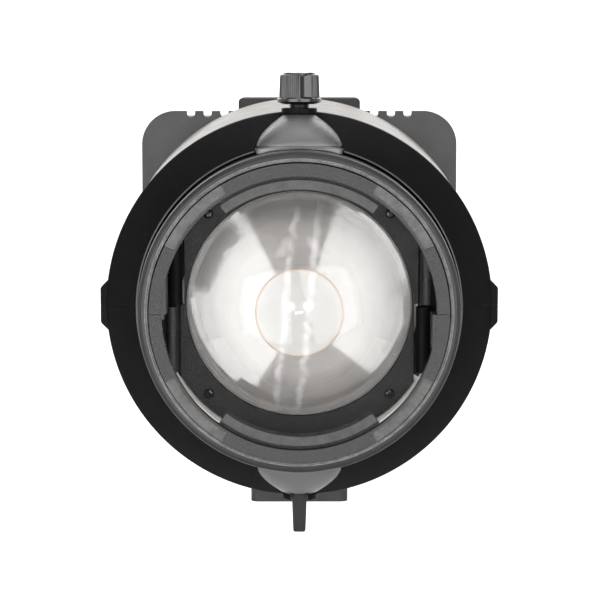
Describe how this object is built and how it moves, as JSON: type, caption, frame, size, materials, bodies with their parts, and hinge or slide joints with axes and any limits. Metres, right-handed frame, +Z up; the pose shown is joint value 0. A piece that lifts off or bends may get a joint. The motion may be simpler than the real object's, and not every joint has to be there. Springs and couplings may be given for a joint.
{
  "type": "fresnel spotlight",
  "caption": "Studio spotlight head with a bayonet accessory ring, domed lens, tapered barrel, lock knob, release lever and a square rear housing.",
  "frame": {"origin": "middle of the flat underside of the mounting foot", "axes": "+Z up, optical axis along Y, the lens faces -Y, +X to the right seen from the front"},
  "size_m": [0.252, 0.331, 0.289],
  "materials": {
    "shell_black": "satin black paint",
    "ring_grey": "cast, grey lacquer, scuffed where accessories rub",
    "plate_black": "fine powder coat",
    "pale_grey": "smooth pale grey paint",
    "housing_grey": "fine textured grey paint",
    "lens_glass": "clear",
    "cone_satin": "fine turned ribs",
    "opal_white": "opal",
    "heatsink_aluminium": "satin",
    "steel": "ground",
    "dark_steel": "black oxide, glossy",
    "black_plastic": "satin moulded",
    "screen_black": "gloss",
    "board_green": "solder mask",
    "phosphor": "phosphor"
  },
  "bodies": {
    "head": {"front_shell_upper": "shell_black", "front_shell_lower": "shell_black", "mount_ring_upper": "ring_grey", "mount_ring_lower": "ring_grey", "mount_sleeve": "ring_grey", "lens_cell": "pale_grey", "lens_seat": "pale_grey", "lens_retainer_plate": "plate_black", "plate_screw_upper_left": "dark_steel", "plate_screw_upper_right": "dark_steel", "plate_screw_lower_left": "dark_steel", "plate_screw_lower_right": "dark_steel", "lens_dome": "lens_glass", "fresnel_cone": "cone_satin", "diffuser_disc": "opal_white", "clamp_column_left": "shell_black", "clamp_column_right": "shell_black", "clamp_screw_left": "ring_grey", "clamp_screw_right": "ring_grey", "barrel": "pale_grey", "barrel_rear_ring": "ring_grey", "mounting_foot": "plate_black", "housing_front_plate": "housing_grey", "rear_housing": "housing_grey", "top_module": "housing_grey", "heatsink": "heatsink_aluminium", "fan_frame": "black_plastic", "driver_board": "board_green", "control_board": "board_green", "guide_rod_left": "steel", "guide_rod_right": "steel", "rear_cover": "housing_grey", "display_window": "screen_black", "rocker_bezel": "black_plastic", "power_inlet": "black_plastic", "cover_screw_upper_left": "dark_steel", "cover_screw_upper_right": "dark_steel", "cover_screw_lower_left": "dark_steel", "cover_screw_lower_right": "dark_steel", "lever_pin": "steel"},
    "clamp": {"clamp_foot": "black_plastic"},
    "lock_screw": {"lock_knob": "black_plastic", "lock_spindle": "dark_steel"},
    "lever": {"release_lever": "shell_black"},
    "latch": {"latch_slider": "steel"},
    "focus_drive": {"focus_screw": "steel", "focus_knob": "black_plastic"},
    "carriage": {"focus_carriage": "heatsink_aluminium", "led_heat_spreader": "heatsink_aluminium", "led_board": "opal_white", "led_emitter": "phosphor", "led_reflector": "cone_satin"},
    "fan": {"fan_rotor": "black_plastic"},
    "dimmer": {"dimmer_knob": "black_plastic"},
    "button_1": {"button_1": "black_plastic"},
    "button_2": {"button_2": "black_plastic"},
    "rocker": {"power_rocker": "black_plastic"}
  },
  "joints": [
    {"name": "clamp_slide", "type": "slide", "parent": "head", "child": "clamp", "axis": [0, 0, -1], "range_m": [0, 0.00118]},
    {"name": "lock_turn", "type": "hinge", "parent": "clamp", "child": "lock_screw", "pos_m": [0, -0.088, 0.258], "axis": [0, 0, -1], "range_deg": [0, 340]},
    {"name": "lever_swing", "type": "hinge", "parent": "head", "child": "lever", "pos_m": [0, -0.088, 0.028], "axis": [-1, 0, 0], "range_deg": [0, 14], "stiffness_Nm_per_rad": 0.1, "springref_deg": -5.73},
    {"name": "latch_slide", "type": "slide", "parent": "head", "child": "latch", "axis": [0, 1, 0], "range_m": [0, 0.0021]},
    {"name": "focus_turn", "type": "hinge", "parent": "head", "child": "focus_drive", "pos_m": [0, 0.18, 0.043], "axis": [0, 1, 0], "range_deg": [0, 1080]},
    {"name": "carriage_slide", "type": "slide", "parent": "head", "child": "carriage", "axis": [0, -1, 0], "range_m": [0, 0.036]},
    {"name": "fan_spin", "type": "hinge", "parent": "head", "child": "fan", "pos_m": [0, 0.15, 0.138], "axis": [0, 1, 0], "continuous": true},
    {"name": "dimmer_turn", "type": "hinge", "parent": "head", "child": "dimmer", "pos_m": [0.062, 0.18, 0.22], "axis": [0, 1, 0], "range_deg": [0, 300]},
    {"name": "button_1_press", "type": "slide", "parent": "head", "child": "button_1", "axis": [0, -1, 0], "range_m": [0, 0.0015], "stiffness_N_per_m": 300},
    {"name": "button_2_press", "type": "slide", "parent": "head", "child": "button_2", "axis": [0, -1, 0], "range_m": [0, 0.0015], "stiffness_N_per_m": 300},
    {"name": "rocker_tilt", "type": "hinge", "parent": "head", "child": "rocker", "pos_m": [0.07, 0.1721, 0.056], "axis": [0, 0, 1], "range_deg": [-18, 0]}
  ],
  "couplings": [
    {"joint": "lock_turn", "follows": "clamp_slide", "rad_per_m": 5026.6},
    {"joint": "latch_slide", "follows": "lever_swing", "m_per_rad": 0.0085},
    {"joint": "focus_turn", "follows": "carriage_slide", "rad_per_m": 523.6}
  ]
}
